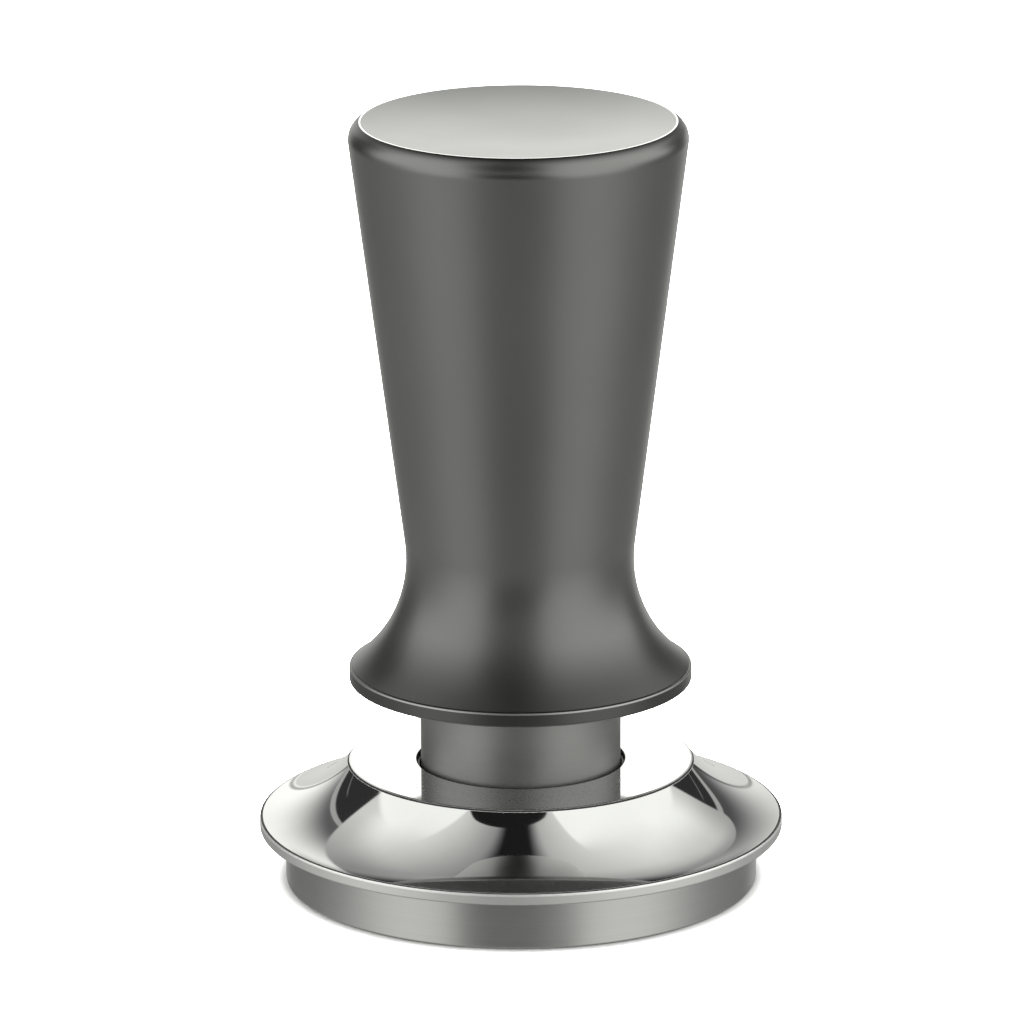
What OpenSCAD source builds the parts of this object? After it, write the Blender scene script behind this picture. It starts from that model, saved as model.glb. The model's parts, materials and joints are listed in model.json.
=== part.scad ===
// Spring-loaded espresso tamper with a levelling ring that slides on its neck.
// Millimetres, +Z up, origin at the centre of the flat tamping face.

/* [Tamping base] */
// Diameter of the tamping face
base_d = 58.35; // [57.8:0.05:58.6]
// Depth of the tamping face below the ring's seat on the basket rim
seat_z = 6.65; // [6.4:0.05:7]
// Diameter of the threaded boss that takes the neck
boss_d = 32; // [31:0.5:33]
// Top of the threaded boss
boss_top_z = 8.4; // [8:0.1:9]

/* [Levelling ring] */
// Outside diameter of the rim
rim_d = 64.8; // [64:0.1:66]
// Thickness of the rim at its edge
rim_t = 1.45; // [1.3:0.05:1.6]
// Diameter of the flat top of the hub
hub_d = 43; // [42:0.25:44]
// Height of the flat top of the hub
hub_z = 15.2; // [15:0.1:15.5]
// Radius of the skirt's hollow curve
skirt_r = 20; // [18:0.5:22]
// Thickness of the skirt
skirt_t = 1.5; // [1.2:0.1:1.8]

/* [Neck] */
// Outside diameter of the neck
neck_d = 24.7; // [24.5:0.05:24.8]
// Top of the neck, inside the handle
neck_top_z = 62; // [58:0.5:63]
// Height of the web that carries the spring
web_z = 22; // [21.5:0.5:22.5]
// Thickness of the web
web_t = 5; // [4:0.5:6]

/* [Handle] */
// Overall height of the tamper
total_h = 96.1; // [95:0.1:98]
// Diameter of the lip at the bottom of the handle
lip_d = 42.3; // [41.8:0.1:43]
// Height of the lip
lip_h = 1.8; // [1.6:0.1:2]
// Diameter of the waist, where the flare begins
waist_d = 28.4; // [28.2:0.1:29]
// Height of the waist
waist_z = 43.2; // [42.5:0.1:44]
// Radius of the flare below the waist
flare_r = 17; // [16.5:0.1:17.5]
// Widest diameter, just under the top edge
top_d = 41.5; // [40:0.1:42.5]
// Radius of the rounded top edge
edge_r = 2.4; // [2:0.1:3]
// Diameter of the dish in the top
dish_d = 38.8; // [38:0.1:39]
// Depth of the dish
dish_depth = 1.2; // [0.8:0.1:2]

/* [Spring and guide rod] */
// Diameter of the guide rod
rod_d = 8; // [7.6:0.1:8]
// Wire diameter of the main spring
wire_d = 2.2; // [1.8:0.1:2.3]
// Mean diameter of the main spring's coils
coil_d = 15.6; // [15.4:0.1:15.8]
// Coils between the two closed ends
active_coils = 10; // [8:1:11]
// Height of the ceiling that the lock nut bears on
ceiling_z = 82; // [80:0.5:83]

/* [Travel] */
// How far the handle can be pressed down
press_travel = 4; // [3.8:0.1:4.2]
// How far the levelling ring can rise
lift_travel = 6; // [5.8:0.1:6.4]
// Gap left between hub and handle when both travels are used
meet_gap = 0.4; // [0.3:0.1:0.6]

/* [Hidden] */
$fn = 96;

// Fits, as radial gaps
running = 0.07;   // a bush on the neck or the rod
turning = 0.05;   // a part that turns inside another
assembled = 0.05; // parts that are screwed or pushed together
stop_gap = 0.05;  // faces that meet at the end of a travel

// Sizes that follow from the driving dimensions
base_r = base_d / 2;
boss_r = boss_d / 2;
rim_r = rim_d / 2;
hub_r = hub_d / 2;
neck_r = neck_d / 2;
lip_r = lip_d / 2;
waist_r = waist_d / 2;
top_r = top_d / 2;
dish_r = dish_d / 2;
rod_r = rod_d / 2;
wire_r = wire_d / 2;
coil_r = coil_d / 2;

// Neck: a thread below the shoulder, a chamber for the rod's head, and one for the spring
neck_thread_r = neck_r - 1.45;
neck_foot_z = boss_top_z - 5.2;
head_chamber_r = neck_thread_r - 1.7;
spring_chamber_r = coil_r + wire_r + 0.7;
web_top_z = web_z + web_t;
wear_ring_z = neck_top_z - 6;
wear_ring_h = 4;
wear_ring_t = 0.9;

// Tamping base: its plain side ends just below the ring, and a smaller collar nests inside
nest_depth = 0.45;
base_top_z = seat_z + nest_depth;
base_side_top_z = seat_z - 0.25;
collar_r = base_r - 0.3;
socket_floor_z = neck_foot_z - 0.2;
seal_r = 0.38;
seal_seat_r = neck_thread_r + 1.25;

// Levelling ring: a flat hub and a trumpet-shaped skirt that runs out to the rim
rim_z = seat_z + rim_t;
skirt_end_r = rim_r - 0.3;
hub_edge = 0.3;
skirt_top_z = hub_z - hub_edge;
skirt_chord = norm([skirt_end_r - hub_r, skirt_top_z - rim_z]);
skirt_slope = atan((skirt_top_z - rim_z) / (skirt_end_r - hub_r));
skirt_reach = sqrt(skirt_r * skirt_r - skirt_chord * skirt_chord / 4);
skirt_cr = (skirt_end_r + hub_r) / 2 + skirt_reach * sin(skirt_slope);
skirt_cz = (skirt_top_z + rim_z) / 2 + skirt_reach * cos(skirt_slope);
nest_r = base_r + 0.3;
nest_z = base_top_z + 0.1;
cavity_r = skirt_r + skirt_t;
cavity_end_r = nest_r - 1.2;
cavity_top_z = hub_z - 1.9;
hub_hole_r = neck_r + 0.45;
ring_bush_t = 1.58;
ring_bush_r = neck_r + running + ring_bush_t;
ring_bore_r = ring_bush_r + turning;
ring_boss_r = ring_bore_r + 3.1;
ring_boss_z = boss_top_z + 1.1;
ring_bush_top_z = hub_z - 0.5;
clip_t = 0.8;
clip_z = ring_boss_z + 0.5;
clip_groove = 0.95;
buffer_t = ring_boss_z - stop_gap - boss_top_z;

// Handle: its foot stands clear of the hub by the two travels and a small gap
handle_z = hub_z + lift_travel + press_travel + meet_gap;
lip_top_z = handle_z + lip_h;
shell_z = lip_top_z + 0.06;
edge_cr = top_r - edge_r;
edge_end_a = acos((dish_r - edge_cr) / edge_r);
edge_z = total_h - edge_r * sin(edge_end_a);
taper = atan((top_r - waist_r) / (edge_z - waist_z));
flare_cr = waist_r + flare_r * cos(taper);
flare_cz = waist_z - flare_r * sin(taper);
dish_sphere_r = (dish_r * dish_r + dish_depth * dish_depth) / (2 * dish_depth);
neck_bore_r = neck_r + 0.3;
neck_bore_top_z = neck_top_z + press_travel + 2;
spring_bore_r = spring_chamber_r + 0.2;
rod_hole_top_z = total_h - dish_depth - 3;

// End ring of the handle, with the guide bush and the wiper inside it
end_thread_r = neck_r + 2.35;
end_bore_r = neck_r + 1.27;
end_spigot_z = lip_top_z + 5.15;
wiper_r = 0.5;
wiper_z = handle_z + 1.1;
guide_bush_z = handle_z + 1.65;

// Guide rod and what is on it
head_r = 7.5;
head_h = 4;
washer_t = 1;
stop_buffer_t = 1.95;
head_top_z = web_z - stop_gap - stop_buffer_t - washer_t;
rod_top_z = rod_hole_top_z - 0.5;
socket_af = 6;
socket_depth = 2.6;
nut_af = 13;
nut_h = 4;
nut_z = ceiling_z - nut_h;
thrust_t = 1;
seat_t = 1.2;
seat_spigot_r = coil_r - wire_r - 0.3;
seat_spigot_h = 2.2;
seat_r = spring_chamber_r - 0.15;
upper_seat_z = nut_z - thrust_t - seat_t;
lower_seat_top_z = web_top_z + seat_t;

// Main spring
spring_gap = 0.03;
spring_h = upper_seat_z - lower_seat_top_z - 2 * spring_gap;
steps_per_turn = 20;
wire_sides = 8;

// Ridges of a thread from z0 up to z1, on the outside of a shaft of radius r
function thread_ridges(r, depth, pitch, z0, z1) =
    let (n = floor((z1 - z0) / pitch))
    [for (i = [0:n - 1], k = [0:1]) [r - depth * (1 - k), z0 + (i + k / 2) * pitch]];

// Solid of revolution from a list of [radius, height]
module turned(points) {
    rotate_extrude() polygon(points);
}

// Plain ring with bevelled edges
module ring(r_in, r_out, z0, z1, bevel = 0.15) {
    turned([
        [r_in + bevel, z0], [r_out - bevel, z0], [r_out, z0 + bevel], [r_out, z1 - bevel],
        [r_out - bevel, z1], [r_in + bevel, z1], [r_in, z1 - bevel], [r_in, z0 + bevel]
    ]);
}

// Ring of round section
module o_ring(r_mid, r_section, z) {
    translate([0, 0, z])
        rotate_extrude() translate([r_mid, 0]) circle(r = r_section);
}

// Washer with a short spigot that centres a coil spring; up = 1 above, -1 below
module spring_seat(z_flat, up) {
    translate([0, 0, z_flat]) scale([1, 1, up]) turned([
        [rod_r + 0.4, 0], [seat_r - 0.2, 0], [seat_r, 0.2], [seat_r, seat_t],
        [seat_spigot_r, seat_t], [seat_spigot_r, seat_t + seat_spigot_h - 0.6],
        [seat_spigot_r - 0.6, seat_t + seat_spigot_h], [rod_r + 0.4, seat_t + seat_spigot_h]
    ]);
}

module tamping_base() {
    color([0.72, 0.72, 0.70]) turned([
        [0, 0], [base_r - 0.3, 0], [base_r, 0.3], [base_r, base_side_top_z],
        [collar_r, base_side_top_z], [collar_r, base_top_z - 0.2],
        [collar_r - 0.2, base_top_z], [boss_r, base_top_z], [boss_r, boss_top_z - 0.3],
        [boss_r - 0.3, boss_top_z], [seal_seat_r, boss_top_z],
        [seal_seat_r, boss_top_z - 2 * seal_r - 0.04],
        [neck_thread_r + assembled, boss_top_z - 2 * seal_r - 0.04],
        [neck_thread_r + assembled, socket_floor_z], [0, socket_floor_z]
    ]);
}

module base_seal_ring() {
    color([0.06, 0.06, 0.06])
        o_ring(neck_thread_r + 0.65, seal_r, boss_top_z - seal_r - 0.02);
}

module neck_sleeve() {
    shoulder_z = boss_top_z + 0.01;
    groove_r = neck_r - wear_ring_t;
    color([0.45, 0.45, 0.44]) turned(concat(
        [[head_chamber_r, neck_foot_z], [neck_thread_r - 0.6, neck_foot_z]],
        thread_ridges(neck_thread_r, 0.6, 1, neck_foot_z + 0.1, boss_top_z - 1.4),
        [
            [neck_thread_r - 0.6, boss_top_z - 1.4], [neck_thread_r - 0.6, shoulder_z],
            [neck_r - 0.2, shoulder_z], [neck_r, shoulder_z + 0.2],
            [neck_r, wear_ring_z], [groove_r, wear_ring_z],
            [groove_r, wear_ring_z + wear_ring_h], [neck_r, wear_ring_z + wear_ring_h],
            [neck_r, neck_top_z - 0.5], [neck_r - 0.5, neck_top_z],
            [spring_chamber_r + 0.4, neck_top_z], [spring_chamber_r, neck_top_z - 0.4],
            [spring_chamber_r, web_top_z], [rod_r + 1.25, web_top_z],
            [rod_r + 1.25, web_z], [head_chamber_r, web_z]
        ]
    ));
}

module neck_wear_ring() {
    color([0.93, 0.92, 0.88])
        ring(neck_r - wear_ring_t + 0.03, neck_bore_r - running,
            wear_ring_z + 0.05, wear_ring_z + wear_ring_h - 0.05);
}

module rod_bush() {
    color([0.93, 0.92, 0.88])
        ring(rod_r + running, rod_r + 1.2, web_z + 0.05, web_top_z - 0.05);
}

module lower_spring_seat() {
    color([0.62, 0.62, 0.63]) spring_seat(web_top_z, 1);
}

// Angle of turn number t: the first and last turns lie flat, and the rest rise evenly
function spring_z(t) =
    let (total = active_coils + 2, closed = wire_d * 1.04,
        rise = (spring_h - wire_d - 2 * closed) / active_coils)
    t < 1 ? closed * t : t < total - 1 ? closed + rise * (t - 1)
        : closed + rise * active_coils + closed * (t - total + 1);

module main_spring() {
    total = active_coils + 2;
    rings = total * steps_per_turn;
    points = [for (i = [0:rings], s = [0:wire_sides - 1])
        let (turn = 360 * i / steps_per_turn, a = 360 * s / wire_sides + 22.5,
            r = coil_r + wire_r * cos(a))
        [r * cos(turn), r * sin(turn),
            lower_seat_top_z + spring_gap + wire_r + spring_z(i / steps_per_turn)
                + wire_r * sin(a)]];
    sides = [for (i = [0:rings - 1], s = [0:wire_sides - 1])
        let (n = (s + 1) % wire_sides, a = i * wire_sides, b = a + wire_sides)
        [a + s, a + n, b + n, b + s]];
    first = [for (s = [0:wire_sides - 1]) wire_sides - 1 - s];
    last = [for (s = [0:wire_sides - 1]) rings * wire_sides + s];
    color([0.55, 0.55, 0.57])
        polyhedron(points = points, faces = concat(sides, [first], [last]));
}

module ring_buffer() {
    color([0.08, 0.08, 0.08])
        ring(neck_r + 0.15, boss_r - 0.4, boss_top_z, boss_top_z + buffer_t);
}

// Turned shell: the skirt's two faces are arcs about one centre, above the rim
module levelling_ring() {
    bush_ledge_z = ring_bush_top_z + turning;
    color([0.88, 0.88, 0.87]) rotate_extrude() difference() {
        polygon([
            [nest_r, seat_z], [rim_r - 0.25, seat_z], [rim_r, seat_z + 0.25],
            [rim_r, rim_z - 0.2], [rim_r - 0.2, rim_z], [skirt_end_r, rim_z],
            [hub_r, skirt_top_z], [hub_r - hub_edge, hub_z], [hub_hole_r + 0.3, hub_z],
            [hub_hole_r, hub_z - 0.3], [hub_hole_r, bush_ledge_z],
            [ring_bore_r, bush_ledge_z], [ring_bore_r, clip_z + clip_t + 0.05],
            [ring_bore_r + clip_groove, clip_z + clip_t + 0.05],
            [ring_bore_r + clip_groove, clip_z - 0.05], [ring_bore_r, clip_z - 0.05],
            [ring_bore_r, ring_boss_z], [ring_boss_r, ring_boss_z], [ring_boss_r, nest_z],
            [nest_r, nest_z]
        ]);
        translate([skirt_cr, skirt_cz]) circle(r = skirt_r);
        difference() {
            translate([ring_boss_r, 0]) square([cavity_end_r - ring_boss_r, cavity_top_z]);
            translate([skirt_cr, skirt_cz]) circle(r = cavity_r);
        }
    }
}

module ring_guide_bush() {
    color([0.05, 0.05, 0.05])
        ring(neck_r + running, ring_bush_r, clip_z + clip_t + 0.1, ring_bush_top_z);
}

// Internal snap ring with a gap between two ears that have holes for pliers
module ring_bush_clip() {
    r_out = ring_bore_r + clip_groove - assembled;
    r_in = r_out - 1.5;
    ear_r = 1.1;
    ear_at = 14;
    gap_at = 9;
    color([0.25, 0.25, 0.26]) translate([0, 0, clip_z]) difference() {
        union() {
            difference() {
                cylinder(r = r_out, h = clip_t);
                translate([0, 0, -1]) cylinder(r = r_in, h = clip_t + 2);
            }
            for (side = [-1, 1]) rotate(side * ear_at)
                translate([r_in + 0.45, 0, 0]) cylinder(r = ear_r, h = clip_t);
        }
        translate([0, 0, -1]) linear_extrude(clip_t + 2)
            polygon([[0, 0], 20 * [cos(gap_at), sin(gap_at)], 20 * [cos(gap_at), -sin(gap_at)]]);
        translate([0, 0, -1]) cylinder(r = neck_r + 0.15, h = clip_t + 2);
        for (side = [-1, 1]) rotate(side * ear_at)
            translate([r_in + 0.55, 0, -1]) cylinder(r = 0.4, h = clip_t + 2);
    }
}

// Tapered grip with a concave flare below, a rounded top edge and a shallow dish
module handle_body() {
    flare_end_r = flare_cr - sqrt(flare_r * flare_r - pow(flare_cz - shell_z, 2));
    color([0.33, 0.33, 0.32]) rotate_extrude() difference() {
        union() {
            polygon([
                [0, rod_hole_top_z], [rod_r + assembled, rod_hole_top_z],
                [rod_r + assembled, ceiling_z], [spring_bore_r, ceiling_z],
                [spring_bore_r, neck_bore_top_z], [neck_bore_r, neck_bore_top_z],
                [neck_bore_r, end_spigot_z + 0.1],
                [end_thread_r + assembled, end_spigot_z + 0.1],
                [end_thread_r + assembled, shell_z], [flare_end_r, shell_z],
                [flare_cr - flare_r * cos(taper), flare_cz + flare_r * sin(taper)],
                [edge_cr + edge_r * cos(taper), edge_z - edge_r * sin(taper)],
                [edge_cr, edge_z], [dish_r, total_h], [0, total_h]
            ]);
            translate([edge_cr, edge_z]) circle(r = edge_r);
        }
        translate([flare_cr, flare_cz]) circle(r = flare_r);
        translate([0, total_h - dish_depth + dish_sphere_r]) circle(r = dish_sphere_r);
    }
}

module handle_end_ring() {
    color([0.34, 0.34, 0.33]) turned(concat(
        [[neck_bore_r, handle_z], [lip_r - 0.25, handle_z], [lip_r, handle_z + 0.25],
            [lip_r, lip_top_z - 0.2], [lip_r - 0.2, lip_top_z],
            [end_thread_r - 0.4, lip_top_z]],
        thread_ridges(end_thread_r, 0.4, 0.75, lip_top_z + 0.4, end_spigot_z - 0.2),
        [[end_thread_r - 0.4, end_spigot_z], [end_bore_r, end_spigot_z],
            [end_bore_r, handle_z + 0.5], [neck_bore_r, handle_z + 0.5]]
    ));
}

module handle_guide_bush() {
    color([0.93, 0.92, 0.88])
        ring(neck_r + running, end_bore_r - 0.03, guide_bush_z, end_spigot_z - 0.05);
}

module neck_wiper_ring() {
    color([0.06, 0.06, 0.06])
        o_ring(neck_r + turning + wiper_r, wiper_r, wiper_z);
}

module guide_rod() {
    color([0.70, 0.70, 0.71]) difference() {
        turned(concat(
            [[0, head_top_z - head_h], [head_r - 0.4, head_top_z - head_h],
                [head_r, head_top_z - head_h + 0.4], [head_r, head_top_z - 0.2],
                [head_r - 0.2, head_top_z], [rod_r, head_top_z], [rod_r, nut_z - 2],
                [rod_r - 0.65, nut_z - 1.4]],
            thread_ridges(rod_r, 0.65, 1.25, nut_z - 1.3, rod_top_z - 0.7),
            [[rod_r - 0.8, rod_top_z], [0, rod_top_z]]
        ));
        translate([0, 0, head_top_z - head_h - 1])
            cylinder(d = socket_af / cos(30), h = socket_depth + 1, $fn = 6);
    }
}

module rod_lock_nut() {
    color([0.66, 0.66, 0.67]) difference() {
        intersection() {
            translate([0, 0, nut_z]) cylinder(d = nut_af / cos(30), h = nut_h, $fn = 6);
            turned([
                [0, nut_z], [nut_af / 2 - 0.3, nut_z], [nut_af / 2 + 1.1, nut_z + 0.8],
                [nut_af / 2 + 1.1, nut_z + nut_h - 0.8],
                [nut_af / 2 - 0.3, nut_z + nut_h], [0, nut_z + nut_h]
            ]);
        }
        translate([0, 0, nut_z - 1]) cylinder(r = rod_r + assembled, h = nut_h + 2);
    }
}

module stop_washer() {
    color([0.66, 0.66, 0.67])
        ring(rod_r + 0.15, head_r + 0.9, head_top_z, head_top_z + washer_t);
}

module stop_buffer() {
    color([0.55, 0.14, 0.10])
        ring(rod_r + 0.2, head_r + 0.1, head_top_z + washer_t,
            head_top_z + washer_t + stop_buffer_t, 0.3);
}

module upper_spring_seat() {
    color([0.62, 0.62, 0.63]) spring_seat(nut_z - thrust_t, -1);
}

module thrust_washer() {
    color([0.93, 0.92, 0.88])
        ring(rod_r + 0.4, seat_r - 0.1, nut_z - thrust_t, nut_z - 0.02);
}

tamping_base();
base_seal_ring();
neck_sleeve();
neck_wear_ring();
rod_bush();
lower_spring_seat();
main_spring();
ring_buffer();
levelling_ring();
ring_guide_bush();
ring_bush_clip();
handle_body();
handle_end_ring();
handle_guide_bush();
neck_wiper_ring();
guide_rod();
rod_lock_nut();
stop_washer();
stop_buffer();
upper_spring_seat();
thrust_washer();
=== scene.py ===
import json
import math

import bmesh
import bpy
from mathutils import Matrix, Vector


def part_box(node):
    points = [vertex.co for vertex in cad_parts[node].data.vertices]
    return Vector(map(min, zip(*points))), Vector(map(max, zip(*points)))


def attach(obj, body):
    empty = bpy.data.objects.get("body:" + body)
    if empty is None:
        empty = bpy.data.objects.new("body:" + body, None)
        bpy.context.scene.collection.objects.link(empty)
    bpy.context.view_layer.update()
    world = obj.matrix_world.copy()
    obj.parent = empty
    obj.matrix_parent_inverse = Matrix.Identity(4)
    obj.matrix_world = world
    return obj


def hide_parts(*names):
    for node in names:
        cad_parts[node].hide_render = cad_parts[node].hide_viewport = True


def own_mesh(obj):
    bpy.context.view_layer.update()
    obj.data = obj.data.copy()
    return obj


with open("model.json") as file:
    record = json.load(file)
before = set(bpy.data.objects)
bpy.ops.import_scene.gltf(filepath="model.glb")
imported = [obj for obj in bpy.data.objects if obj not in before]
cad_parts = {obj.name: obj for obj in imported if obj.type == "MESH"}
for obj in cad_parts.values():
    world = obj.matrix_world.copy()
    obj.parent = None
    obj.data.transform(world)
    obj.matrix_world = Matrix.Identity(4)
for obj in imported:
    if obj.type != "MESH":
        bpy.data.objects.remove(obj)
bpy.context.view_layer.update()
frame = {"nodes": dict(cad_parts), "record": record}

# Lengths are in millimetres, as in the CAD model. MM turns them into metres.
MM = 0.001
AROUND = 256  # segments round every turned piece
MARGIN = 0.06  # how far inside the ends of a straight run its supporting points lie


# ---------------------------------------------------------------------------------------------
# Sizes
# ---------------------------------------------------------------------------------------------

def extent(node):
    """Outer radius, lowest and highest Z of a CAD node, in millimetres."""
    low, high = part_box(node)
    return high.x / MM, low.z / MM, high.z / MM


_, HANDLE_FOOT_Z, HANDLE_TOP_Z = extent("handle_body")
EDGE_R = 2.4  # rounding of the handle's top edge
DISH_R = 19.4
LAND = 0.2  # width of the flat round the dish

LIP_R, LIP_FOOT_Z, SPIGOT_TOP_Z = extent("handle_end_ring")
LIP_H = 1.8

NECK_R, NECK_FOOT_Z, NECK_TOP_Z = extent("neck_sleeve")
NECK_HOLE_R = NECK_R + 0.3  # the holes in the handle and its end ring
SNUG = 0.05  # clearance round a piece that is pressed or laid into another

RIM_R, SEAT_Z, HUB_Z = extent("levelling_ring")
RIM_T = 1.45
HUB_R = 21.5
HUB_EDGE = 0.3
HUB_HOLE_R = NECK_R + 0.45
SKIRT_R = 20.0  # radius of the skirt's hollow curve

BUSH_R, BUSH_FOOT_Z, BUSH_TOP_Z = extent("ring_guide_bush")

BASE_R, _, BOSS_TOP_Z = extent("tamping_base")


# ---------------------------------------------------------------------------------------------
# Turned pieces: an outline of (radius, height) points, revolved about the Z axis
# ---------------------------------------------------------------------------------------------

def arc(centre_r, centre_z, radius, start, end, steps):
    """Points on an arc, with the angles in radians."""
    points = []
    for i in range(steps + 1):
        a = start + (end - start) * i / steps
        points.append((centre_r + radius * math.cos(a), centre_z + radius * math.sin(a)))
    return points


def rounded(outline, steps=6):
    """Rounds each corner that is given as (r, z, radius) in a closed outline."""
    result = []
    for i, corner in enumerate(outline):
        here = Vector(corner[:2])
        if len(corner) == 2:
            result.append(tuple(here))
            continue
        back = (Vector(outline[i - 1][:2]) - here).normalized()
        ahead = (Vector(outline[(i + 1) % len(outline)][:2]) - here).normalized()
        half = back.angle(ahead) / 2
        reach = corner[2] / math.tan(half)
        centre = here + (back + ahead).normalized() * (corner[2] / math.sin(half))
        first = here + back * reach - centre
        last = here + ahead * reach - centre
        start = math.atan2(first.y, first.x)
        turn = math.remainder(math.atan2(last.y, last.x) - start, math.tau)
        result += arc(centre.x, centre.y, corner[2], start, start + turn, steps)
    return result


def thread(root_r, crest_r, foot_z, pitch, ridge_h, crest_edge, count):
    """Ring-shaped ridges with soft crests, as corners of an outline that runs upwards."""
    corners = []
    for i in range(count):
        z = foot_z + pitch * i
        corners += [(root_r, z), (crest_r, z + ridge_h / 2, crest_edge), (root_r, z + ridge_h)]
    return corners


def supported(outline):
    """Adds a point just inside each end of a long straight run, so that it shades flat."""
    result = []
    for i, point in enumerate(outline):
        here, ahead = Vector(point), Vector(outline[(i + 1) % len(outline)])
        result.append(tuple(here))
        length = (ahead - here).length
        if length > 8 * MARGIN:
            step = (ahead - here) * (MARGIN / length)
            result += [tuple(here + step), tuple(ahead - step)]
    return result


def turned(name, outline, sharp=40):
    """A closed solid of revolution, shaded smooth except where it turns by more than sharp
    degrees. The outline runs anticlockwise in the (r, z) plane."""
    mesh = bpy.data.meshes.new(name)
    bm = bmesh.new()
    rings = []
    for r, z in supported(outline):
        if r < 1e-6:
            rings.append([bm.verts.new((0, 0, z * MM))] * AROUND)
            continue
        ring = []
        for i in range(AROUND):
            a = math.tau * i / AROUND
            ring.append(bm.verts.new((r * MM * math.cos(a), r * MM * math.sin(a), z * MM)))
        rings.append(ring)
    for k, low in enumerate(rings):
        high = rings[(k + 1) % len(rings)]
        for i in range(AROUND):
            j = (i + 1) % AROUND
            corners = []
            for vert in (low[i], low[j], high[j], high[i]):
                if vert not in corners:
                    corners.append(vert)
            if len(corners) > 2:
                bm.faces.new(corners)
    bmesh.ops.recalc_face_normals(bm, faces=bm.faces)
    bm.to_mesh(mesh)
    bm.free()
    mesh.shade_smooth()
    mesh.set_sharp_from_angle(angle=math.radians(sharp))
    piece = bpy.data.objects.new(name, mesh)
    bpy.context.scene.collection.objects.link(piece)
    return piece


def fit(piece, node, body, slot):
    """Puts a piece in the place of a CAD node."""
    piece.data.materials.append(MATERIALS[slot])
    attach(piece, body)
    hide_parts(node)


# ---------------------------------------------------------------------------------------------
# Materials
# ---------------------------------------------------------------------------------------------

class Nodes:
    """Short calls for building a node tree."""

    def __init__(self, tree):
        self.tree = tree

    def add(self, kind, inputs=(), **settings):
        node = self.tree.nodes.new(kind)
        for key, value in settings.items():
            setattr(node, key, value)
        for key, value in dict(inputs).items():
            if isinstance(value, bpy.types.NodeSocket):
                self.tree.links.new(value, node.inputs[key])
            else:
                node.inputs[key].default_value = value
        return node

    def math(self, operation, a, b=0.0, c=0.0):
        return self.add("ShaderNodeMath", {0: a, 1: b, 2: c}, operation=operation).outputs[0]

    def times(self, a, b):
        return self.math("MULTIPLY", a, b)

    def most(self, a, b):
        return self.math("MAXIMUM", a, b)

    def rest_of(self, share):
        return self.math("SUBTRACT", 1.0, share)

    def step(self, value, start, end, low=0.0, high=1.0):
        """Rises smoothly from low to high as value goes from start to end."""
        inputs = {"Value": value, "From Min": start, "From Max": end, "To Min": low, "To Max": high}
        return self.add("ShaderNodeMapRange", inputs, interpolation_type="SMOOTHSTEP").outputs[0]

    def band(self, value, low, high, soft):
        """1 from low to high, fading to 0 over twice soft at each end."""
        rise = self.step(value, low - soft, low + soft)
        fall = self.step(value, high - soft, high + soft, 1.0, 0.0)
        return self.times(rise, fall)

    def noise(self, vector, scale, detail=3.0, roughness=0.5):
        inputs = {"Vector": vector, "Scale": scale, "Detail": detail, "Roughness": roughness}
        return self.add("ShaderNodeTexNoise", inputs).outputs["Fac"]

    def mix(self, factor, a, b):
        node = self.add("ShaderNodeMix", data_type="RGBA")
        for socket, value in ((node.inputs[0], factor), (node.inputs[6], a), (node.inputs[7], b)):
            if isinstance(value, bpy.types.NodeSocket):
                self.tree.links.new(value, socket)
            else:
                socket.default_value = value
        return node.outputs[2]


class Finish(Nodes):
    """A Principled material, with the coordinates that turned metal is marked along."""

    def __init__(self, name, metallic, **constants):
        self.material = bpy.data.materials.new(name)
        self.material.use_nodes = True
        super().__init__(self.material.node_tree)
        self.shader = self.tree.nodes["Principled BSDF"]
        self.shader.inputs["Metallic"].default_value = metallic
        for key, value in constants.items():
            self.shader.inputs[key.replace("_", " ")].default_value = value
        self.place = self.add("ShaderNodeTexCoord").outputs["Object"]
        axes = self.add("ShaderNodeSeparateXYZ", {0: self.place})
        self.height = axes.outputs[2]
        across = self.add("ShaderNodeCombineXYZ", {0: axes.outputs[0], 1: axes.outputs[1]})
        length = self.add("ShaderNodeVectorMath", {0: across.outputs[0]}, operation="LENGTH")
        self.radius = length.outputs["Value"]

    def lathe_lines(self, pitch_mm):
        """Fine rings, as a lathe tool leaves them, on sides and faces alike."""
        rings = self.add("ShaderNodeCombineXYZ", {0: self.radius, 2: self.height})
        return self.noise(rings.outputs[0], 1 / (pitch_mm * MM), 2.0, 0.6)

    def grain(self, size_mm, detail=2.0):
        return self.noise(self.place, 1 / (size_mm * MM), detail, 0.6)

    def beyond_r(self, radius, soft=0.02):
        """0 inside a radius and 1 outside it, fading over twice soft. Both are in millimetres."""
        return self.step(self.radius, (radius - soft) * MM, (radius + soft) * MM)

    def above_z(self, low, high):
        """Rises from 0 to 1 between two heights in millimetres."""
        return self.step(self.height, low * MM, high * MM)

    def below_z(self, low, high):
        """Falls from 1 to 0 between two heights in millimetres."""
        return self.step(self.height, low * MM, high * MM, 1.0, 0.0)

    def colour(self, value):
        self.connect("Base Color", value)

    def roughness(self, value):
        self.connect("Roughness", value)

    def connect(self, key, value):
        self.tree.links.new(value, self.shader.inputs[key])

    def bump(self, depth_mm, height, normal=None):
        inputs = {"Height": height, "Strength": 1.0, "Distance": depth_mm * MM}
        if normal is not None:
            inputs["Normal"] = normal
        return self.add("ShaderNodeBump", inputs).outputs[0]


def grey(value, warm=0.0):
    return (value * (1 + warm), value, value * (1 - 1.6 * warm), 1.0)


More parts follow.
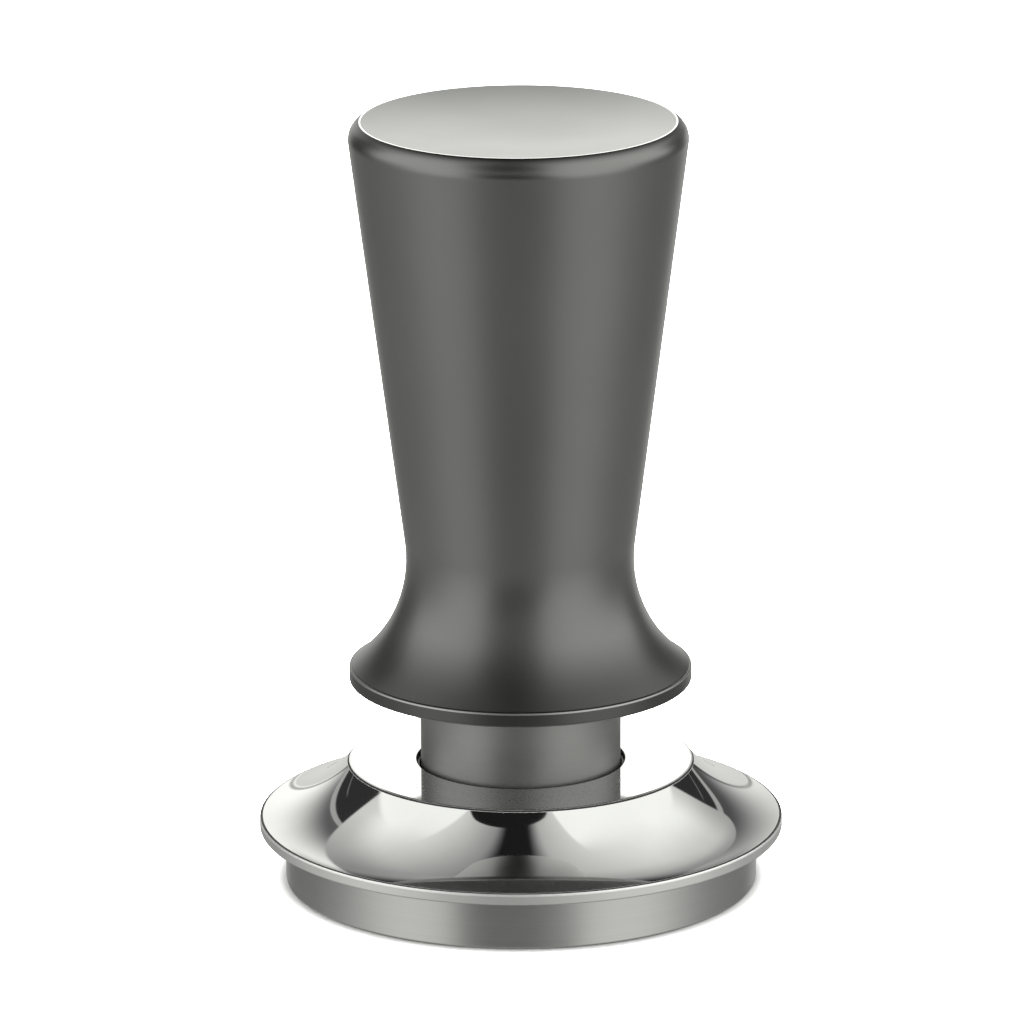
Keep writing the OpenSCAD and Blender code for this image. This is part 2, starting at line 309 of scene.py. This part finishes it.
def anodised_aluminium(name, tone, coat_weight):
    """Blasted and dyed aluminium under its clear oxide. Gives its colour and roughness too."""
    f = Finish(name, 1.0, Coat_Weight=coat_weight, Coat_Roughness=0.31, Coat_IOR=1.5)
    cloud = f.noise(f.place, 45.0)
    dye = f.mix(f.step(cloud, 0.3, 0.7), grey(tone * 0.95), grey(tone * 1.05))
    rough = f.step(cloud, 0.25, 0.75, 0.43, 0.48)
    f.colour(dye)
    f.roughness(rough)
    blast = f.bump(0.0022, f.grain(0.22))
    f.connect("Normal", f.bump(0.0012, f.lathe_lines(0.12), blast))
    return f, dye, rough


def handle_anodised(name, tone):
    """The flare is painted darker towards the foot, a painted shade, and the rounding just outside
    the dish is painted near black, a painted reflection of the dark overhead. The dish and that
    rounding are smoother and painted a little lighter, a painted sheen, and the narrow land
    between them is painted near white, a painted highlight."""
    # Colours of a painted sheen, a painted highlight and a painted dark reflection.
    painted_sheen, lighter_grey, painted_dark_reflection = grey(0.175), grey(0.95), grey(0.005)
    f, dye, rough = anodised_aluminium(name, tone, 1.0)
    # Painted shade: the flare is painted darker towards the foot.
    foot = f.below_z(HANDLE_FOOT_Z + 0.8, HANDLE_FOOT_Z + 7.2)
    body = f.mix(foot, dye, grey(tone * 0.22))
    fillet_z = HANDLE_TOP_Z - EDGE_R
    top = f.above_z(fillet_z - 0.4, fillet_z + 0.4)
    outside = f.beyond_r(DISH_R)
    dish = f.times(top, f.rest_of(outside))
    # The land is painted near white, a painted highlight.
    land = f.times(dish, f.beyond_r(DISH_R - LAND - 0.01, 0.01))
    # Just outside the dish the rounding is painted near black, a painted reflection of the dark
    # overhead, and its coat is thinned.
    near_dish = f.rest_of(f.beyond_r(DISH_R + 0.5, 0.55))
    dark = f.times(f.times(top, near_dish), outside)
    # The top is painted lighter, a painted sheen, under the land's painted highlight and the dark
    # band.
    f.colour(f.mix(dark, f.mix(top, body, f.mix(land, painted_sheen, lighter_grey)), painted_dark_reflection))
    rough = f.math("MULTIPLY_ADD", top, -0.10, rough)
    f.roughness(f.math("MULTIPLY_ADD", land, -0.12, rough))
    weight = f.math("MULTIPLY_ADD", dish, -0.30, 1.0)
    f.connect("Coat Weight", f.math("MULTIPLY_ADD", dark, -0.85, weight))
    return f.material


def end_ring_anodised(name, tone):
    """As the handle, but dyed deeper. Its top edge is painted lighter, a painted highlight, and its
    underside is a lighter grey.
    """
    # Colours of the lighter underside and of the painted edge highlight.
    lighter_grey, painted_edge_highlight = grey(0.5), grey(0.40)
    f, dye, _ = anodised_aluminium(name, tone, 0.55)
    top_z = LIP_FOOT_Z + LIP_H
    under = f.below_z(LIP_FOOT_Z + 0.05, LIP_FOOT_Z + 0.2)
    # The top edge is painted lighter, a painted highlight.
    edge = f.band(f.height, (top_z - 0.24) * MM, (top_z - 0.05) * MM, 0.03 * MM)
    edge = f.times(edge, f.beyond_r(LIP_R - 0.15, 0.05))
    f.colour(f.mix(edge, f.mix(under, dye, lighter_grey), painted_edge_highlight))
    return f.material


def mirror_steel(name):
    """Polished stainless steel with faint haze, and fine dust on the flat hub. The rim's side is
    left satin, with the top of it painted light, a painted highlight. Dark lines are painted
    where one face ends and the next begins."""
    # Colours of the rim crest's painted highlight and of the painted dark edge lines.
    painted_crest_highlight, edge_line_dark = grey(0.92), grey(0.005)
    f = Finish(name, 1.0)
    haze = f.noise(f.place, 120.0, 4.0)
    rim_z = SEAT_Z + RIM_T
    rim = f.times(f.beyond_r(RIM_R - 0.10), f.below_z(rim_z - 0.12, rim_z - 0.06))
    # The top of the rim's side is painted light, a painted highlight.
    crest = f.times(rim, f.above_z(rim_z - 0.36, rim_z - 0.30))

    # Dark lines are painted along the edges of the rim, the hub and the hole.
    def line_between(low_r, high_r, from_z):
        ring = f.band(f.radius, low_r * MM, high_r * MM, 0.02 * MM)
        return f.times(ring, f.above_z(from_z - 0.1, from_z))

    rim_line = line_between(RIM_R - 0.40, RIM_R - 0.09, rim_z - 0.4)
    hub_line = line_between(HUB_R - 0.26, HUB_R - 0.04, HUB_Z - 0.6)
    hole_line = line_between(HUB_HOLE_R - 0.10, HUB_HOLE_R + 0.16, HUB_Z - 0.6)
    line = f.most(f.most(rim_line, hub_line), hole_line)
    steel = f.mix(f.step(haze, 0.3, 0.7), grey(0.63), grey(0.67))
    f.colour(f.mix(line, f.mix(crest, steel, painted_crest_highlight), edge_line_dark))
    f.connect("Metallic", f.rest_of(line))
    dust = f.times(f.step(f.grain(0.30, 1.0), 0.64, 0.72), f.above_z(HUB_Z - 0.05, HUB_Z - 0.02))
    rough = f.step(haze, 0.35, 0.8, 0.035, 0.075)
    for where, extra in ((dust, 0.30), (rim, 0.50), (line, 0.60)):
        rough = f.math("MULTIPLY_ADD", where, extra, rough)
    f.roughness(rough)
    f.connect("Normal", f.bump(0.0002, f.lathe_lines(0.3)))
    return f.material


def turned_steel(name, tone, rough_low, rough_high, ring_mm, depth_mm):
    """Satin steel with the fine rings of a lathe cut."""
    f = Finish(name, 1.0)
    rings = f.lathe_lines(ring_mm)
    cloud = f.noise(f.place, 60.0)
    blend = f.times(f.step(rings, 0.25, 0.75), 0.5)
    blend = f.math("MULTIPLY_ADD", f.step(cloud, 0.3, 0.7), 0.5, blend)
    f.colour(f.mix(blend, grey(tone * 0.94), grey(tone * 1.04)))
    f.roughness(f.step(cloud, 0.25, 0.75, rough_low, rough_high))
    f.connect("Normal", f.bump(depth_mm, rings))
    return f.material


def plastic(name, low, high):
    """Turned acetal: waxy, with faint tool rings."""
    f = Finish(name, 0.0)
    cloud = f.noise(f.place, 150.0, 2.0)
    f.colour(f.mix(cloud, low, high))
    f.roughness(f.step(cloud, 0.2, 0.8, 0.37, 0.47))
    f.connect("Normal", f.bump(0.002, f.lathe_lines(0.2)))
    return f.material


def rubber(name, low, high):
    """Moulded rubber with a fine matt skin."""
    f = Finish(name, 0.0)
    cloud = f.noise(f.place, 300.0)
    f.colour(f.mix(cloud, low, high))
    f.roughness(f.step(cloud, 0.2, 0.8, 0.55, 0.75))
    f.connect("Normal", f.bump(0.006, f.grain(0.12)))
    return f.material


MATERIALS = {
    "handle_anodised": handle_anodised("handle_anodised", 0.16),
    "end_ring_anodised": end_ring_anodised("end_ring_anodised", 0.075),
    # The steels: tone, lowest and highest roughness, pitch and depth of the tool rings.
    "neck_steel": turned_steel("neck_steel", 0.315, 0.50, 0.56, 0.10, 0.0012),
    "base_steel": turned_steel("base_steel", 0.48, 0.31, 0.37, 0.14, 0.0015),
    "mirror_steel": mirror_steel("mirror_steel"),
    "acetal_black": plastic("acetal_black", grey(0.012), grey(0.02)),
    "acetal_white": plastic("acetal_white", grey(0.72, 0.02), grey(0.8, 0.02)),
    "seal_rubber": rubber("seal_rubber", grey(0.012), grey(0.022)),
    "buffer_urethane": rubber("buffer_urethane", (0.26, 0.03, 0.02, 1.0), (0.34, 0.05, 0.03, 1.0)),
    "spring_steel": turned_steel("spring_steel", 0.42, 0.28, 0.36, 0.08, 0.001),
    "rod_steel": turned_steel("rod_steel", 0.58, 0.22, 0.30, 0.09, 0.001),
    "clip_steel": turned_steel("clip_steel", 0.10, 0.42, 0.50, 0.15, 0.001),
    "hardware_steel": turned_steel("hardware_steel", 0.52, 0.30, 0.38, 0.12, 0.0015),
}
SLOT_OF = {s["node"]: s["material_slot"] for s in frame["record"]["subparts"]}
for node_name, cad_object in frame["nodes"].items():
    cad_object.data.materials.clear()
    cad_object.data.materials.append(MATERIALS[SLOT_OF[node_name]])


# ---------------------------------------------------------------------------------------------
# The visible pieces
# ---------------------------------------------------------------------------------------------

def add_tamping_base():
    boss_r = 16
    socket_r = NECK_R - 1.4
    socket_z = NECK_FOOT_Z - 0.2
    side_top_z = SEAT_Z - 0.25
    collar_r = BASE_R - 0.3
    collar_top_z = SEAT_Z + 0.45
    outline = rounded([
        (0, 0), (BASE_R, 0, 0.3), (BASE_R, side_top_z, 0.12), (collar_r, side_top_z),
        (collar_r, collar_top_z, 0.15), (boss_r, collar_top_z), (boss_r, BOSS_TOP_Z, 0.25),
        (socket_r, BOSS_TOP_Z, 0.2), (socket_r, socket_z), (0, socket_z)
    ])
    fit(turned("tamping_base_turned", outline), "tamping_base", "base", "base_steel")


def add_levelling_ring():
    rim_z = SEAT_Z + RIM_T
    end = Vector((RIM_R - 0.3, rim_z))
    top = Vector((HUB_R, HUB_Z - HUB_EDGE))
    chord = top - end
    reach = math.sqrt(SKIRT_R ** 2 - chord.length_squared / 4)
    centre = (end + top) / 2 + Vector((chord.y, -chord.x)).normalized() * reach

    def angle(point):
        return math.atan2(point[1] - centre.y, point[0] - centre.x) % math.tau

    cavity_r = SKIRT_R + 1.5
    cavity_z = HUB_Z - 1.9
    nest_r = BASE_R + 0.3
    nest_z = SEAT_Z + 0.55
    cavity_end_r = nest_r - 1.2
    under_start = math.pi + math.asin((centre.y - cavity_z) / cavity_r)
    under_end = math.pi + math.acos((centre.x - cavity_end_r) / cavity_r)
    bore_r = BUSH_R + SNUG
    bush_room_z = BUSH_TOP_Z + SNUG
    boss_r = bore_r + 3.1
    boss_z = BOSS_TOP_Z + 1.1
    groove_r = bore_r + 0.95
    groove_z = boss_z + 0.45
    groove_top_z = groove_z + 0.9
    outline = rounded(
        [(nest_r, SEAT_Z, 0.1), (RIM_R, SEAT_Z, 0.22), (RIM_R, rim_z - 0.06, 0.22)]
        + arc(centre.x, centre.y, SKIRT_R, angle(end), angle(top), 64)
        + [
            (HUB_R - 0.8 * HUB_EDGE, HUB_Z, 0.5), (HUB_HOLE_R, HUB_Z, 0.22),
            (HUB_HOLE_R, bush_room_z), (bore_r, bush_room_z),
            (bore_r, groove_top_z), (groove_r, groove_top_z),
            (groove_r, groove_z), (bore_r, groove_z), (bore_r, boss_z, 0.2),
            (boss_r, boss_z, 0.3), (boss_r, cavity_z)
        ]
        + arc(centre.x, centre.y, cavity_r, under_start, under_end, 32)
        + [(cavity_end_r, nest_z), (nest_r, nest_z)])
    fit(turned("levelling_ring_polished", outline), "levelling_ring", "ring", "mirror_steel")


def add_ring_guide_bush():
    bore_r = NECK_R + 0.07
    outline = rounded([
        (bore_r, BUSH_FOOT_Z, 0.2), (BUSH_R, BUSH_FOOT_Z, 0.2),
        (BUSH_R, BUSH_TOP_Z, 0.2), (bore_r, BUSH_TOP_Z, 0.2)
    ])
    fit(turned("ring_guide_bush_turned", outline), "ring_guide_bush", "ring_carrier",
        "acetal_black")


def add_neck_sleeve():
    thread_r = NECK_R - 1.45
    root_r = thread_r - 0.55
    low_bore_r = thread_r - 1.7
    high_bore_r = extent("upper_spring_seat")[0] + 0.15
    rod_bush_r, rod_bush_foot_z, rod_bush_top_z = extent("rod_bush")
    web_hole_r = rod_bush_r + SNUG
    web_z = rod_bush_foot_z - SNUG
    web_top_z = rod_bush_top_z + SNUG
    shoulder_z = BOSS_TOP_Z + 0.01
    _, wear_ring_foot_z, wear_ring_top_z = extent("neck_wear_ring")
    groove_r = NECK_R - 0.9
    groove_z = wear_ring_foot_z - SNUG
    groove_top_z = wear_ring_top_z + SNUG
    outline = rounded(
        [(low_bore_r, NECK_FOOT_Z), (root_r, NECK_FOOT_Z)]
        + thread(root_r, thread_r, NECK_FOOT_Z + 0.3, 1.0, 0.9, 0.06, 3)
        + [
            (root_r, shoulder_z), (NECK_R, shoulder_z, 0.15),
            (NECK_R, groove_z), (groove_r, groove_z), (groove_r, groove_top_z),
            (NECK_R, groove_top_z), (NECK_R, NECK_TOP_Z, 0.5), (high_bore_r, NECK_TOP_Z, 0.4),
            (high_bore_r, web_top_z), (web_hole_r, web_top_z), (web_hole_r, web_z),
            (low_bore_r, web_z)
        ])
    fit(turned("neck_sleeve_turned", outline), "neck_sleeve", "base", "neck_steel")


def add_handle_end_ring():
    bore_r = NECK_R + 1.27
    bore_foot_z = LIP_FOOT_Z + 0.5
    thread_r = NECK_R + 2.35
    root_r = thread_r - 0.4
    lip_top_z = LIP_FOOT_Z + LIP_H
    outline = rounded(
        [
            (NECK_HOLE_R, LIP_FOOT_Z, 0.2), (LIP_R, LIP_FOOT_Z, 0.28), (LIP_R, lip_top_z, 0.2),
            (root_r, lip_top_z)
        ]
        + thread(root_r, thread_r, lip_top_z + 0.5, 0.8, 0.7, 0.05, 5)
        + [
            (root_r, SPIGOT_TOP_Z), (bore_r, SPIGOT_TOP_Z, 0.1), (bore_r, bore_foot_z),
            (NECK_HOLE_R, bore_foot_z)
        ])
    fit(turned("handle_end_ring_turned", outline), "handle_end_ring", "handle",
        "end_ring_anodised")


def add_handle_body():
    waist_r, waist_z = 14.2, 43.2
    flare_r = 17.0
    top_r = 20.75
    dish_depth = 1.2
    edge_cr = top_r - EDGE_R
    edge_end = math.acos((DISH_R - edge_cr) / EDGE_R)
    edge_z = HANDLE_TOP_Z - EDGE_R * math.sin(edge_end)
    taper = math.atan((top_r - waist_r) / (edge_z - waist_z))
    flare_cr = waist_r + flare_r * math.cos(taper)
    flare_cz = waist_z - flare_r * math.sin(taper)
    flare_start = math.pi + math.asin((flare_cz - HANDLE_FOOT_Z) / flare_r)
    hollow_r = DISH_R - LAND
    dish_sphere = (hollow_r ** 2 + dish_depth ** 2) / (2 * dish_depth)
    dish_angle = math.asin(hollow_r / dish_sphere)
    bottom_z = HANDLE_TOP_Z - dish_depth
    dish = arc(0, bottom_z + dish_sphere, dish_sphere, dish_angle - math.pi / 2, -math.pi / 2, 40)
    dish[-1] = (0, bottom_z)

    socket_r = NECK_R + 2.4
    socket_top_z = SPIGOT_TOP_Z + 0.1
    neck_room_z = NECK_TOP_Z + 6.0  # lets the handle go down over the neck
    spring_bore_r = extent("upper_spring_seat")[0] + 0.35
    rod_hole_r = 4.05
    ceiling_z = extent("rod_lock_nut")[2]
    rod_top_z = extent("guide_rod")[2] + 0.5
    outline = rounded(
        [(socket_r, HANDLE_FOOT_Z, 0.1)]
        + arc(flare_cr, flare_cz, flare_r, flare_start, math.pi - taper, 48)
        + arc(edge_cr, edge_z, EDGE_R, -taper, edge_end, 20)
        + dish
        + [
            (0, rod_top_z), (rod_hole_r, rod_top_z), (rod_hole_r, ceiling_z, 0.3),
            (spring_bore_r, ceiling_z, 0.5), (spring_bore_r, neck_room_z, 0.3),
            (NECK_HOLE_R, neck_room_z, 0.5), (NECK_HOLE_R, socket_top_z, 0.3),
            (socket_r, socket_top_z)
        ])
    fit(turned("handle_body_turned", outline, sharp=20), "handle_body", "handle",
        "handle_anodised")


def add_main_spring():
    """A round wire in place of the CAD's faceted one."""
    seat_t, press_travel = 1.2, 4.0
    coil_r, wire_r, gap = 7.8, 1.08, 0.05
    coils, steps, sides = 12, 40, 16
    floor_z = extent("lower_spring_seat")[1] + seat_t
    ceiling_z = extent("upper_spring_seat")[2] - seat_t
    closed = 2.29  # rise of each end turn, which lies flat on its neighbour
    length = ceiling_z - floor_z
    rise = (length - 2 * (gap + wire_r + closed)) / (coils - 2)
    verts, faces = [], []
    for i in range(coils * steps + 1):
        t = i / steps
        middle_turns = min(max(t - 1, 0), coils - 2)
        end_turns = min(t, 1) + max(t - coils + 1, 0)
        z = floor_z + gap + wire_r + closed * end_turns + rise * middle_turns
        for k in range(sides):
            a = math.tau * k / sides
            r = coil_r + wire_r * math.cos(a)
            verts.append((r * MM * math.cos(math.tau * t), r * MM * math.sin(math.tau * t),
                          (z + wire_r * math.sin(a)) * MM))
    for i in range(coils * steps):
        for k in range(sides):
            near, far = i * sides + k, i * sides + (k + 1) % sides
            faces.append((near, near + sides, far + sides, far))
    faces.append(tuple(range(sides)))
    faces.append(tuple(reversed(range(len(verts) - sides, len(verts)))))
    mesh = bpy.data.meshes.new("main_spring_wound")
    mesh.from_pydata(verts, [], faces)
    mesh.shade_smooth()
    mesh.set_sharp_from_angle(angle=math.radians(50))
    spring = bpy.data.objects.new("main_spring_wound", mesh)
    bpy.context.scene.collection.objects.link(spring)
    fit(spring, "main_spring", "base", "spring_steel")
    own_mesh(spring)


add_tamping_base()
add_levelling_ring()
add_ring_guide_bush()
add_neck_sleeve()
add_handle_end_ring()
add_handle_body()
add_main_spring()


# ---------------------------------------------------------------------------------------------
# The studio: a pale floor, a white tent with an opening for the camera, a lamp and the camera
# ---------------------------------------------------------------------------------------------

def add_floor():
    mesh = bpy.data.meshes.new("floor")
    half = 3.0
    corners = [(-half, -half, 0), (half, -half, 0), (half, half, 0), (-half, half, 0)]
    mesh.from_pydata(corners, [], [(0, 1, 2, 3)])
    floor = bpy.data.objects.new("floor", mesh)
    floor.location.z = -0.00002  # just clear of the tamping face
    bpy.context.scene.collection.objects.link(floor)
    material = bpy.data.materials.new("pale_floor")
    material.use_nodes = True
    shader = material.node_tree.nodes["Principled BSDF"]
    shader.inputs["Base Color"].default_value = (0.93, 0.93, 0.93, 1.0)
    shader.inputs["Roughness"].default_value = 0.9
    shader.inputs["Specular IOR Level"].default_value = 0.1
    mesh.materials.append(material)
    floor.visible_glossy = False


class Studio(Nodes):
    """The world's brightness by direction, in degrees. Azimuth 0 is towards the camera, + to its
    right. Behind is the same angle without its sign, so it grows to 180 straight behind."""

    def __init__(self, world):
        world.use_nodes = True
        super().__init__(world.node_tree)
        direction = self.add("ShaderNodeTexCoord").outputs["Generated"]
        self.x, y, self.z = self.add("ShaderNodeSeparateXYZ", {0: direction}).outputs
        turn = self.math("ARCTAN2", self.x, self.times(y, -1.0))
        self.azimuth = self.times(turn, math.degrees(1))
        self.elevation = self.times(self.math("ARCSINE", self.z), math.degrees(1))
        self.behind = self.math("ABSOLUTE", self.azimuth)
        self.to_right = self.step(self.x, -0.01, 0.01)
        foot = self.either(self.math("MULTIPLY_ADD", self.behind, 0.174, 9.6),
                           self.step(self.behind, 151.0, 166.0, 23.0, 40.0))
        self.over_foot = self.math("SUBTRACT", self.elevation, foot)

    def either(self, left, right):
        """One value to the left of the object and another to its right."""
        on_left = self.times(self.rest_of(self.to_right), left)
        return self.math("ADD", on_left, self.times(self.to_right, right))

    def blend(self, factor, a, b):
        return self.math("MULTIPLY_ADD", factor, self.math("SUBTRACT", b, a), a)

    def dimmed(self, light, share):
        return self.times(light, self.rest_of(share))

    def wall(self, side, power, gain, brightest, slot, seam, below_seam):
        """The tent's wall on one side: +1 is right and -1 is left. It is bright in front, below a
        seam. Above the seam and towards the back, it dims as it nears the dark slot that runs
        over the object."""
        out = self.most(self.times(self.x, side), 0.0)
        over = self.math("DIVIDE", out, self.most(self.z, 0.12))
        light = self.times(self.math("POWER", out, power), gain)
        light = self.times(self.math("MINIMUM", light, brightest), self.step(out, *slot))
        front = self.step(self.behind, 70.0, 125.0, 1.0, 0.0)
        return self.blend(self.times(self.step(over, *seam), front), light, below_seam)

    def tent(self):
        left = self.wall(-1, power=0.9, gain=2.0, brightest=1.35, slot=(0.08, 0.17),
                         seam=(0.50, 0.54), below_seam=1.34)
        right = self.wall(1, power=0.5, gain=1.75, brightest=1.38, slot=(0.03, 0.13),
                          seam=(0.290, 0.315), below_seam=1.36)
        back = self.either(self.step(self.elevation, 45.0, 75.0, 0.55, 0.25), 0.60)
        back = self.times(self.step(self.behind, 120.0, 150.0), back)
        off_axis = self.step(self.math("ABSOLUTE", self.x), 0.03, 0.15)
        under_slot = self.step(self.elevation, 68.0, 55.0)
        back = self.times(back, self.most(off_axis, under_slot))
        light = self.most(self.either(left, right), back)
        # It is shaded above its foot, and further up on the right.
        near_foot = self.step(
            self.over_foot, self.either(4.0, 0.0), self.either(20.0, 14.0), 0.33, 0.0)
        at_back = self.step(self.behind, self.either(113.0, 120.5), self.either(117.5, 124.5))
        light = self.dimmed(light, self.times(near_foot, at_back))
        further_up = self.step(self.over_foot, 38.0, 4.0)
        dim = self.times(further_up, self.step(self.behind, 118.0, 150.0, 0.0, 0.30))
        light = self.dimmed(light, self.times(dim, self.to_right))
        # Low down, the light falls off round the sides.
        sideways = self.step(self.behind, 60.0, 104.0, 0.0, self.either(0.68, 0.80))
        return self.dimmed(light, self.times(self.step(self.elevation, 8.0, -8.0), sideways))

    def under_foot(self):
        """Behind the tent's open foot, dark flags stand beside a panel that brightens to the
        middle. A thin strip of light shows along each flag's edge."""
        panel = self.either(self.step(self.behind, 146.0, 168.0, 0.15, 1.32),
                            self.step(self.behind, 153.0, 176.0, 0.10, 1.05))
        panel = self.most(panel, self.step(self.behind, 174.0, 177.0, 0.0, 1.75))
        panel = self.blend(self.step(self.elevation, -0.5, 0.5, 1.0, 0.0), panel, 0.80)
        flag_end = self.either(self.math("MULTIPLY_ADD", self.elevation, -0.35, 152.0), 149.0)
        past_flag = self.math("SUBTRACT", self.behind, flag_end)
        strip = self.times(self.band(past_flag, 0.0, 2.6, 0.5), 0.5)
        glint = self.times(self.band(past_flag, -6.0, -5.2, 0.4),
                           self.band(self.elevation, 9.0, 21.0, 3.0))
        strip = self.most(strip, self.times(glint, 0.22))
        light = self.most(self.times(panel, self.step(past_flag, 1.0, 3.0)), strip)
        return self.most(light, self.step(self.elevation, -4.0, -16.0, 0.04, 0.30))

    def outside_opening(self):
        """0 in the camera's opening and 1 outside it. The opening has a rounded top, widens as it
        rises, and shifts to the right below the table's height."""
        rise = self.step(self.elevation, 20.0, 60.0)
        sink = self.step(self.elevation, 0.0, -15.0)
        centre = self.math("MULTIPLY_ADD", rise, -4.0, -7.0)
        centre = self.math("MULTIPLY_ADD", sink, 5.0, centre)
        half_width = self.math("MULTIPLY_ADD", rise, 10.0, 25.5)
        half_width = self.math("MULTIPLY_ADD", sink, 4.0, half_width)
        across = self.math("DIVIDE", self.math("SUBTRACT", self.azimuth, centre), half_width)
        up = self.most(self.math("SUBTRACT", self.elevation, 60.0), 0.0)
        up = self.math("DIVIDE", up, 11.0)
        reach = self.math("SQRT", self.math("MULTIPLY_ADD", across, across, self.times(up, up)))
        return self.step(reach, 0.97, 1.03)

    def light(self):
        at_back = self.step(self.behind, self.either(113.0, 120.0), self.either(117.0, 124.0))
        low_back = self.times(at_back, self.step(self.over_foot, -0.6, 0.6, 1.0, 0.0))
        light = self.blend(low_back, self.tent(), self.under_foot())
        # A second slot is open behind the handle, and the table ends in a dark line.
        gap = self.times(self.step(self.behind, 163.0, 169.0),
                         self.step(self.elevation, 27.0, 33.0))
        light = self.dimmed(light, self.times(gap, 0.97))
        table_end = self.times(self.band(self.elevation, 0.6, 2.2, 0.5),
                               self.step(self.behind, 100.0, 115.0))
        light = self.dimmed(light, self.times(table_end, 0.6))
        light = self.times(light, self.outside_opening())
        # A dim sill crosses the foot of the opening.
        sill = self.times(self.band(self.elevation, 6.0, 26.0, 6.0),
                          self.step(self.behind, 60.0, 40.0, 0.0, 0.28))
        light = self.most(light, sill)
        # The table is bright near the object. Below its height everything fades.
        light = self.most(light, self.step(self.elevation, -13.0, -33.0, 0.0, 0.85))
        light = self.times(light, self.step(self.elevation, -60.0, 0.0, 0.35, 1.0))
        return self.most(light, 0.015)


def add_studio():
    """The camera itself sees plain white. All else sees the studio, whose bright parts have a
    faint tint."""
    world = bpy.data.worlds.new("studio")
    bpy.context.scene.world = world
    studio = Studio(world)
    light = studio.light()
    seen = studio.add("ShaderNodeLightPath").outputs["Is Camera Ray"]
    lit = studio.times(studio.step(light, 0.1, 0.7), studio.rest_of(seen))
    tint = studio.mix(lit, (1.0, 1.0, 1.0, 1.0), (0.99, 1.0, 0.95, 1.0))
    background = world.node_tree.nodes["Background"]
    world.node_tree.links.new(tint, background.inputs["Color"])
    world.node_tree.links.new(studio.blend(seen, light, 1.0), background.inputs["Strength"])


def add_top_light():
    """A wide overhead light for the floor alone: metal doesn't mirror it."""
    light = bpy.data.lights.new("top_light", "AREA")
    light.shape = "DISK"
    light.size = 1.2
    light.energy = 100.0
    lamp = bpy.data.objects.new("top_light", light)
    lamp.location = (0, 0, 1.1)
    lamp.visible_glossy = False
    lamp.visible_camera = False
    bpy.context.scene.collection.objects.link(lamp)


def add_camera():
    """A long lens, looking down at the tamper from the front."""
    distance, height = 1.0206, 0.3379
    camera = bpy.data.cameras.new("camera")
    camera.sensor_width = 36.0
    camera.lens = 303.75
    camera.clip_start = 0.05
    camera.clip_end = 50.0
    camera.dof.use_dof = False
    eye = bpy.data.objects.new("camera", camera)
    eye.location = (0, -distance, height)
    tilt_down, turn, roll = math.radians(15.92), math.radians(-0.054), math.radians(-0.229)
    look = Vector((math.sin(turn) * math.cos(tilt_down), math.cos(turn) * math.cos(tilt_down),
                   -math.sin(tilt_down)))
    rotation = look.to_track_quat("-Z", "Y").to_matrix()
    eye.rotation_euler = (rotation @ Matrix.Rotation(roll, 3, "Z")).to_euler()
    bpy.context.scene.collection.objects.link(eye)
    bpy.context.scene.camera = eye


add_floor()
add_studio()
add_top_light()
add_camera()
bpy.context.scene.view_settings.view_transform = "Standard"
